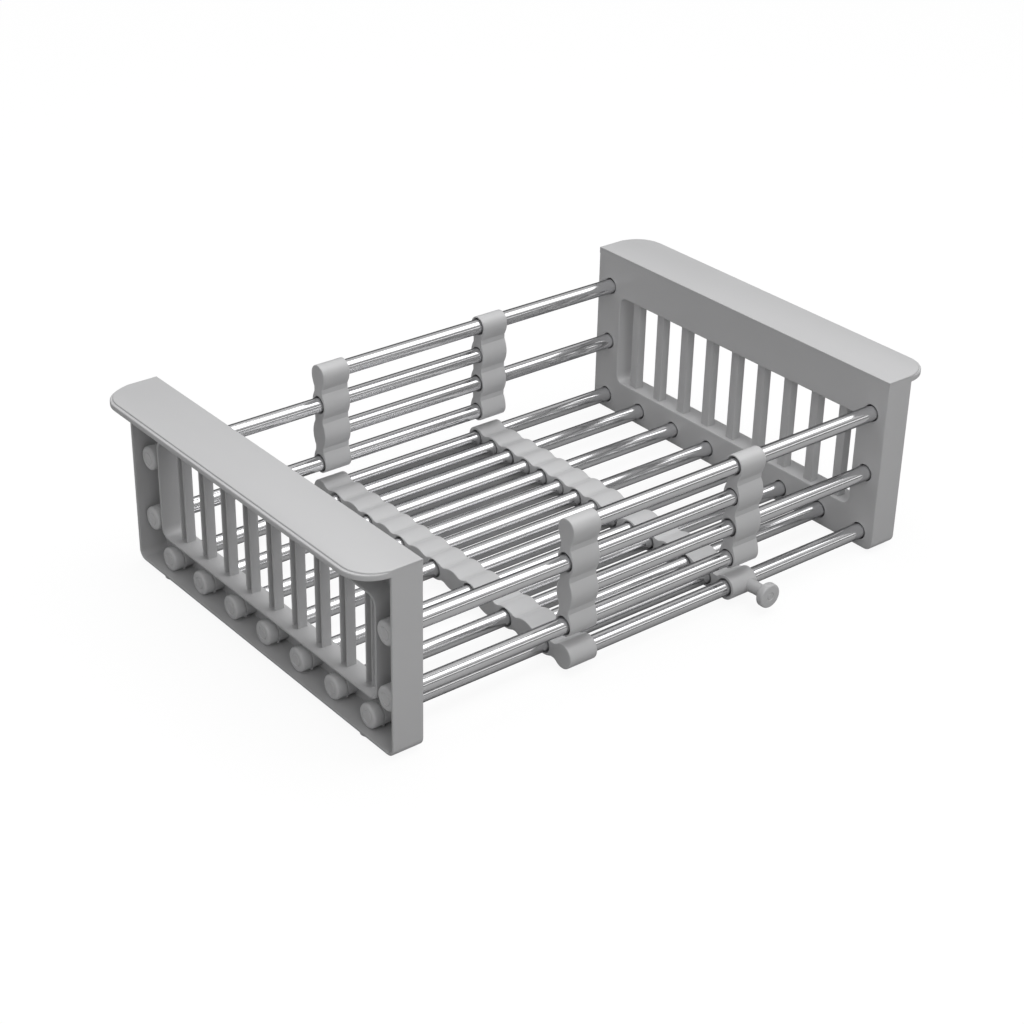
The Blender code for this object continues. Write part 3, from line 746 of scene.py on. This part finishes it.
def build_flange(half):
    """Hanging flange: a round bead along its outer edge, and a top plate a step above it."""
    sizes = settings("rack_flange")
    under, lip_top = flange_underside(), TOP_Z - sizes.lip_drop
    rim, slope = sizes.top_edge, sizes.step_slope
    rings = []
    for degrees in BEAD_UNDER_ANGLES:
        angle, radius = math.radians(degrees), sizes.bead_under
        rings.append((radius - radius * math.sin(angle), under + radius * (1 - math.cos(angle))))
    for degrees in BEAD_TOP_ANGLES:
        angle, radius = math.radians(degrees), sizes.bead_top
        rings.append((radius * (1 - math.cos(angle)), lip_top - radius + radius * math.sin(angle)))
    rings += [(sizes.lip_width, lip_top - slope), (sizes.lip_width + slope, TOP_Z - rim)]
    shape = bmesh.new()
    loops = [add_loop(shape, [(x, y, z) for x, y in flange_outline(half, inset)]) for inset, z in rings]
    for lower, upper in zip(loops, loops[1:]):
        bmesh.ops.bridge_loops(shape, edges=lower[1] + upper[1])
    shape.faces.new(loops[0][0])
    top = shape.faces.new(loops[-1][0])
    bmesh.ops.recalc_face_normals(shape, faces=shape.faces)
    round_rim(shape, [top], rim, UP)
    finish_piece(shape, f"{half}_flange", "grey_plastic", f"{half}_half")


def box_outline(inset):
    """Outline of the open box, or of its hollow: round corners below, square ones under the flange."""
    sizes = settings("rack_panel")
    radius = sizes.corner - inset
    bottom, top = sizes.foot_height + inset + radius, flange_underside() - inset
    points = arc((NEAR_Y + inset + radius, bottom), radius, 180, 270, CORNER_STEPS)
    points += arc((FAR_Y - inset - radius, bottom), radius, 270, 360, CORNER_STEPS)
    return points + [(FAR_Y - inset, top), (NEAR_Y + inset, top)]


def window_corners(outset=0):
    """The window's lower near and upper far corners in Y and Z, or those of the frame's wall round it."""
    sizes = settings("rack_panel")
    low = (NEAR_Y + sizes.window_inset - outset, sizes.foot_height + sizes.window_bottom - outset)
    high = (FAR_Y - sizes.window_inset + outset, sizes.foot_height + sizes.window_top + outset)
    return low, high


def build_moulding(half):
    """Box, window frame and tube bosses in one moulding that is open towards the outside."""
    sizes = settings("rack_panel")
    box_mark, web_mark, frame_mark, boss_mark = 1, 2, 3, 4
    wall, edge, frame_wall = sizes.wall, sizes.edge, sizes.frame_wall
    out = Vector((OUTWARD[half], 0, 0))
    start_x = INNER_X[half] + OUTWARD[half] * edge
    window = rounded_rectangle(*window_corners(), sizes.window_corner, CORNER_STEPS)
    around = rounded_rectangle(*window_corners(frame_wall), sizes.window_corner + frame_wall, CORNER_STEPS)
    shape = bmesh.new()
    layer = shape.faces.layers.int.new("part")
    box_ring, hollow_ring, frame_ring, window_ring = [
        add_loop(shape, across(outline, start_x))[1]
        for outline in (box_outline(0), box_outline(wall), around, window)]
    boss_rings, bore_rings = [], []
    for name in half_nodes(half, "_tube"):
        low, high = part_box(name)
        centre = ((low.y + high.y) / 2, (low.z + high.z) / 2)
        boss = circle(centre, sizes.boss_diameter / 2, ROUND_SIDES)
        bore = circle(centre, TUBE_DIAMETER / 2 + sizes.bore_gap, ROUND_SIDES)
        boss_rings.append(add_loop(shape, across(boss, start_x))[1])
        bore_rings.append(add_loop(shape, across(bore, start_x))[1])
    faces = fill(shape, [box_ring, hollow_ring], box_mark, layer)
    faces += fill(shape, [hollow_ring, frame_ring, *boss_rings], web_mark, layer)
    faces += fill(shape, [frame_ring, window_ring], frame_mark, layer)
    for rings in zip(boss_rings, bore_rings):
        faces += fill(shape, rings, boss_mark, layer)
    bmesh.ops.recalc_face_normals(shape, faces=faces)
    moved = pull(shape, faces, out * (wall - edge))
    reaches = {box_mark: sizes.depth, frame_mark: sizes.frame_depth, boss_mark: sizes.boss_reach}
    parts = {mark: [face for face in moved if face[layer] == mark] for mark in reaches}
    for mark, reach in reaches.items():
        rim = pull(shape, parts[mark], out * (reach - wall - edge))
        round_rim(shape, rim, edge, out)
    round_rim(shape, faces_at(shape, start_x), edge, -out)
    # The upper rims lie against the flange, so they are square again
    under = flange_underside()
    for vertex in shape.verts:
        if vertex.co.z > under - edge * FLAT_RIM_SHARE:
            vertex.co.z = under
    finish_piece(shape, f"{half}_panel_moulding", "grey_plastic", f"{half}_half", (f"{half}_end_panel",))


def build_panels():
    """End panels: the moulding of each one, with its flange and bars."""
    for half in HALVES:
        build_moulding(half)
        build_flange(half)
        build_bars(half)


def build_bars(half):
    """Channel bars that open outwards, let into the frame at both ends."""
    sizes = settings("rack_bar")
    frame_wall = settings("rack_panel").frame_wall
    low, high = window_corners()
    half_width, inside = sizes.width / 2, sizes.width / 2 - sizes.wall
    back, web, front = sizes.setback, sizes.setback + sizes.wall, sizes.setback + sizes.depth
    channel = [
        (back, -half_width), (front, -half_width), (front, -inside), (web, -inside),
        (web, inside), (front, inside), (front, half_width), (back, half_width)]
    foot = low[1] - frame_wall / 2
    for number in range(sizes.bars):
        centre = MIDDLE_Y + sizes.pitch * (number - (sizes.bars - 1) / 2)
        shape = bmesh.new()
        points = [(INNER_X[half] + OUTWARD[half] * x, centre + y, foot) for x, y in channel]
        face = shape.faces.new(add_loop(shape, points)[0])
        pull(shape, [face], UP * (high[1] - low[1] + frame_wall))
        upright = [edge for edge in shape.edges if abs(edge.verts[0].co.z - edge.verts[1].co.z) > sizes.depth]
        bmesh.ops.bevel(
            shape, geom=upright, offset=sizes.edge, affect="EDGES", segments=BEVEL_STEPS, profile=0.5,
            material=-1)
        finish_piece(shape, f"{half}_bar_{number + 1}", "grey_plastic", f"{half}_half")


def build_collar(x, z, bore):
    """Moulded collar of the thumbscrew, flared where it leaves the corner clip."""
    sizes = settings("rack_lock")
    collar_end = KNOB_HIGH.y + sizes.knob_gap
    root = floor_y(0) - TUBE_DIAMETER / 2 - settings("rack_clip").slide_gap - sizes.collar_sunk
    edge, radius, span = sizes.collar_edge, sizes.collar_diameter / 2, root - collar_end
    profile = [(bore, 0), (radius + sizes.collar_flare, 0), (radius, span * COLLAR_FLARE_SHARE)]
    profile += arc((radius - edge, span - edge), edge, 0, 90, COLLAR_EDGE_STEPS) + [(bore, span), (bore, 0)]
    shape = turned(profile, Vector((x, root, z)), TO_NEAR_SIDE, UP, KNOB_SIDES)
    finish_piece(shape, "lock_collar", "grey_plastic", "left_half")


def build_knob(x, z, bore):
    """Round knob with a ring in its face and a bore for the screw."""
    sizes = settings("rack_lock")
    thickness = KNOB_HIGH.y - KNOB_LOW.y
    edge, radius = sizes.knob_edge, (KNOB_HIGH.z - KNOB_LOW.z) / 2
    depth = thickness * KNOB_BORE_SHARE
    profile = [(0, thickness)] + groove(sizes, thickness, KNOB_GROOVE_SHARES)
    profile += arc((radius - edge, thickness - edge), edge, 90, 0, KNOB_EDGE_STEPS)
    profile += arc((radius - edge, edge), edge, 0, -90, KNOB_EDGE_STEPS)
    profile += [(bore, 0), (bore, depth), (0, depth)]
    shape = turned(profile, Vector((x, KNOB_HIGH.y, z)), TO_NEAR_SIDE, UP, KNOB_SIDES)
    finish_piece(shape, "lock_round_knob", "grey_plastic", "lock_handle", ("lock_knob",))


def build_screw(x, z):
    """Steel screw with the ridges of its thread."""
    pitch = settings("rack_lock").thread_pitch
    radius, span = (STUD_HIGH.z - STUD_LOW.z) / 2, STUD_HIGH.y - STUD_LOW.y
    turns = int(span / pitch)
    profile = [(0, 0)]
    for turn in range(turns):
        start = span * turn / turns
        profile += [(radius, start), (radius - pitch * THREAD_DEPTH_SHARE, start + span / turns / 2)]
    profile += [(radius, span), (0, span)]
    shape = turned(profile, Vector((x, STUD_HIGH.y, z)), TO_NEAR_SIDE, UP, SMALL_SIDES)
    finish_piece(shape, "lock_screw_thread", "screw_steel", "lock_screw", ("lock_stud",))


def build_lock():
    """Thumbscrew: moulded collar, round knob and steel screw on one axis."""
    x, z = (KNOB_LOW.x + KNOB_HIGH.x) / 2, (KNOB_LOW.z + KNOB_HIGH.z) / 2
    bore = (STUD_HIGH.z - STUD_LOW.z) / 2 + settings("rack_lock").screw_gap
    build_collar(x, z, bore)
    build_knob(x, z, bore)
    build_screw(x, z)


def build_gusset(half, label, y):
    """Rib under the flange, let into the wall at the panel's inner face."""
    sizes = settings("rack_panel")
    start, end = sizes.wall / 2, sizes.gusset_reach
    size = Vector((end - start, sizes.gusset_wall, sizes.gusset_height))
    centre_x = INNER_X[half] + OUTWARD[half] * (start + end) / 2
    shape = bmesh.new()
    bmesh.ops.create_cube(shape, size=1)
    bmesh.ops.scale(shape, vec=size, verts=shape.verts)
    bmesh.ops.translate(shape, verts=shape.verts, vec=(centre_x, y, flange_underside() - size.z / 2))
    bmesh.ops.bevel(
        shape, geom=shape.edges, offset=sizes.gusset_edge, affect="EDGES", segments=BEVEL_STEPS,
        profile=0.5, material=-1)
    finish_piece(shape, f"{half}_{label}_gusset", "grey_plastic", f"{half}_half")


def build_foot(half, label, y):
    """Round foot under the box."""
    sizes = settings("rack_panel")
    radius, height = sizes.foot_diameter / 2, sizes.foot_height
    edge = height * FOOT_EDGE_SHARE
    profile = [(0, 0), (radius, 0)] + arc((radius - edge, height - edge), edge, 0, 90, FOOT_EDGE_STEPS)
    profile += [(0, height)]
    base = Vector((INNER_X[half] + OUTWARD[half] * sizes.foot_setback, y, height))
    shape = turned(profile, base, -UP, Vector((1, 0, 0)), SMALL_SIDES)
    finish_piece(shape, f"{half}_{label}_foot", "grey_plastic", f"{half}_half")


def build_pip(half, name):
    """Moulding pip low on the near side of a floor tube's boss."""
    sizes, tube = settings("rack_panel"), settings("rack_tube")
    low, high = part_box(name)
    radius = sizes.boss_diameter / 2
    middle = Vector((
        INNER_X[half] + OUTWARD[half] * (sizes.boss_reach - tube.pip_radius),
        (low.y + high.y) / 2 - radius * math.sin(tube.pip_turn),
        TUBE_Z - radius * math.cos(tube.pip_turn)))
    shape = bmesh.new()
    bmesh.ops.create_uvsphere(shape, u_segments=PIP_SIDES, v_segments=PIP_RINGS, radius=tube.pip_radius)
    bmesh.ops.translate(shape, verts=shape.verts, vec=middle)
    finish_piece(shape, name.replace("_tube", "_pip"), "grey_plastic", f"{half}_half")


def build_trim():
    """Gussets under the flange, feet under the box, and the moulding pips under the floor bosses."""
    sizes = settings("rack_panel")
    for half in HALVES:
        for label, side_y, inward in (("near", NEAR_Y, 1), ("far", FAR_Y, -1)):
            build_gusset(half, label, side_y + inward * sizes.gusset_inset)
            build_foot(half, label, side_y + inward * sizes.foot_inset)
        for name in half_nodes(half, "_tube"):
            if "floor" in name:
                build_pip(half, name)


def background_share(tree, mirrored):
    """How much of the white background a ray sees: all of it straight or through glass, a part in metal."""
    camera = tree.add("ShaderNodeLightPath", {}, {}, "Is Camera Ray")
    through = tree.add("ShaderNodeLightPath", {}, {}, "Is Transmission Ray")
    glossy = tree.add("ShaderNodeLightPath", {}, {}, "Is Glossy Ray")
    return camera.math("MAXIMUM", through).math("MAXIMUM", glossy * mirrored)


def place_camera():
    """Camera that looks down on the rack's near left corner."""
    sizes = settings("rack_stage")
    lens = bpy.data.cameras.new("camera")
    lens.lens = sizes.lens
    lens.sensor_width = sizes.sensor
    lens.clip_start = sizes.nearest
    camera = bpy.data.objects.new("camera", lens)
    level = math.radians(90)
    turn = Matrix.Rotation(sizes.azimuth, 4, "Z") @ Matrix.Rotation(level - sizes.elevation, 4, "X")
    turn = turn @ Matrix.Rotation(sizes.roll, 4, "Z")
    camera.matrix_world = Matrix.Translation(sizes.camera_place) @ turn
    bpy.context.scene.collection.objects.link(camera)
    bpy.context.scene.camera = camera


def lay_floor():
    """Wide matt floor that is mostly drawn plain white, so that it keeps only a faint shadow."""
    sizes = settings("rack_stage")
    shape = bmesh.new()
    bmesh.ops.create_grid(shape, x_segments=1, y_segments=1, size=sizes.floor_size / 2)
    bmesh.ops.translate(shape, verts=shape.verts, vec=(0, 0, -sizes.floor_gap))
    mesh = bpy.data.meshes.new("floor")
    shape.to_mesh(mesh)
    shape.free()
    made, tree, place = surface("floor_finish")
    speck = noise(tree, place, FLOOR_SPECK_SCALE, 2.0)
    base = shaded(tree, settings("rack_finish").floor, vary(speck, by=0.01) + 1.0)
    matt = tree.add("ShaderNodeBsdfDiffuse", {}, {"Color": base})
    white = tree.add("ShaderNodeEmission", {}, {"Color": WHITE, "Strength": sizes.white})
    seen = background_share(tree, sizes.mirrored)
    mixed = tree.add("ShaderNodeMixShader", {}, {0: seen * sizes.whiteness, 1: matt, 2: white})
    output = tree.nodes.new("ShaderNodeOutputMaterial")
    tree.links.new(mixed.socket, output.inputs["Surface"])
    mesh.materials.append(made)
    floor = bpy.data.objects.new("floor", mesh)
    bpy.context.scene.collection.objects.link(floor)


def hang_lamps():
    """Soft lamps, each turned to what it lights."""
    sizes = settings("rack_stage")
    for name, lamp in LAMPS.items():
        light = bpy.data.lights.new(name, "AREA")
        light.energy = getattr(sizes, name + "_power")
        light.shape = "RECTANGLE"
        light.size, light.size_y = lamp["width"], lamp["depth"]
        hung = bpy.data.objects.new(name, light)
        hung.location = lamp["place"]
        facing = Vector(lamp["aim"]) - Vector(lamp["place"])
        hung.rotation_euler = facing.to_track_quat("-Z", "Y").to_euler()
        bpy.context.scene.collection.objects.link(hung)


def light_world():
    """Surroundings that are dark at the horizon and light overhead, and white where the camera sees them."""
    sizes = settings("rack_stage")
    world = bpy.data.worlds.new("studio")
    bpy.context.scene.world = world
    world.use_nodes = True
    world.node_tree.nodes.clear()
    tree = NodeTree(world.node_tree)
    direction = tree.add("ShaderNodeTexCoord", {}, {}, "Generated")
    height = tree.add("ShaderNodeSeparateXYZ", {}, {"Vector": direction}, "Z")
    level = tree.add("ShaderNodeMapRange", {"interpolation_type": "SMOOTHSTEP"}, {
        "Value": height, "From Min": sizes.dark_below, "From Max": sizes.light_above,
        "To Min": sizes.horizon, "To Max": sizes.zenith})
    shown = level + (1.0 - level) * background_share(tree, sizes.mirrored)
    glow = tree.add("ShaderNodeBackground", {}, {"Color": WHITE, "Strength": shown})
    output = tree.nodes.new("ShaderNodeOutputWorld")
    tree.links.new(glow.socket, output.inputs["Surface"])


def build_stage():
    """Camera, floor, lamps and surroundings."""
    bpy.context.scene.view_settings.view_transform = "Standard"
    place_camera()
    lay_floor()
    hang_lamps()
    light_world()


class RACK_OT_panels(bpy.types.Operator):
    """Model the two moulded end panels."""
    bl_idname = "rack.panels"
    bl_label = "End Panels"
    bl_options = {"REGISTER", "UNDO"}

    def execute(self, context):
        """Build the end panels."""
        build_panels()
        return {"FINISHED"}


class RACK_OT_trim(bpy.types.Operator):
    """Model the gussets, feet and moulding pips."""
    bl_idname = "rack.trim"
    bl_label = "Panel Trim"
    bl_options = {"REGISTER", "UNDO"}

    def execute(self, context):
        """Build the gussets, feet and pips."""
        build_trim()
        return {"FINISHED"}


class RACK_OT_tubes(bpy.types.Operator):
    """Model the steel tubes."""
    bl_idname = "rack.tubes"
    bl_label = "Tubes"
    bl_options = {"REGISTER", "UNDO"}

    def execute(self, context):
        """Build the tubes."""
        build_tubes()
        return {"FINISHED"}


class RACK_OT_caps(bpy.types.Operator):
    """Model the tubes' end caps."""
    bl_idname = "rack.caps"
    bl_label = "Caps"
    bl_options = {"REGISTER", "UNDO"}

    def execute(self, context):
        """Build the caps."""
        build_caps()
        return {"FINISHED"}


class RACK_OT_clips(bpy.types.Operator):
    """Model the wavy clips."""
    bl_idname = "rack.clips"
    bl_label = "Clips"
    bl_options = {"REGISTER", "UNDO"}

    def execute(self, context):
        """Build the clips."""
        build_clips()
        return {"FINISHED"}


class RACK_OT_lock(bpy.types.Operator):
    """Model the collar, screw and knob."""
    bl_idname = "rack.lock"
    bl_label = "Thumbscrew"
    bl_options = {"REGISTER", "UNDO"}

    def execute(self, context):
        """Build the thumbscrew."""
        build_lock()
        return {"FINISHED"}


class RACK_OT_stage(bpy.types.Operator):
    """Set up the camera, the floor and the lamps."""
    bl_idname = "rack.stage"
    bl_label = "Stage"
    bl_options = {"REGISTER", "UNDO"}

    def execute(self, context):
        """Set up the stage."""
        build_stage()
        return {"FINISHED"}


OPERATORS = (
    RACK_OT_panels,
    RACK_OT_trim,
    RACK_OT_tubes,
    RACK_OT_caps,
    RACK_OT_clips,
    RACK_OT_lock,
    RACK_OT_stage,
)


class RACK_PT_sidebar(bpy.types.Panel):
    """The rack's operators and sizes, in the 3D view's sidebar."""
    bl_label = "Drying Rack"
    bl_idname = "RACK_PT_sidebar"
    bl_space_type = "VIEW_3D"
    bl_region_type = "UI"
    bl_category = "Drying Rack"

    def draw(self, context):
        """List the operators, then each group of settings."""
        for operator in OPERATORS:
            self.layout.operator(operator.bl_idname)
        for name, group in SETTINGS.items():
            box = self.layout.box()
            box.label(text=name.replace("_", " ").title())
            for entry in group.__annotations__:
                box.prop(getattr(context.scene, name), entry)


def register():
    """Register the settings, the operators and the panel."""
    for name, group in SETTINGS.items():
        bpy.utils.register_class(group)
        setattr(bpy.types.Scene, name, bpy.props.PointerProperty(type=group))
    for operator in OPERATORS:
        bpy.utils.register_class(operator)
    bpy.utils.register_class(RACK_PT_sidebar)


def unregister():
    """Take them away again."""
    bpy.utils.unregister_class(RACK_PT_sidebar)
    for operator in reversed(OPERATORS):
        bpy.utils.unregister_class(operator)
    for name, group in SETTINGS.items():
        delattr(bpy.types.Scene, name)
        bpy.utils.unregister_class(group)


def main():
    """Build every piece."""
    register()
    bpy.ops.rack.panels()
    bpy.ops.rack.trim()
    bpy.ops.rack.tubes()
    bpy.ops.rack.caps()
    bpy.ops.rack.clips()
    bpy.ops.rack.lock()
    bpy.ops.rack.stage()


if __name__ == "__main__":
    main()
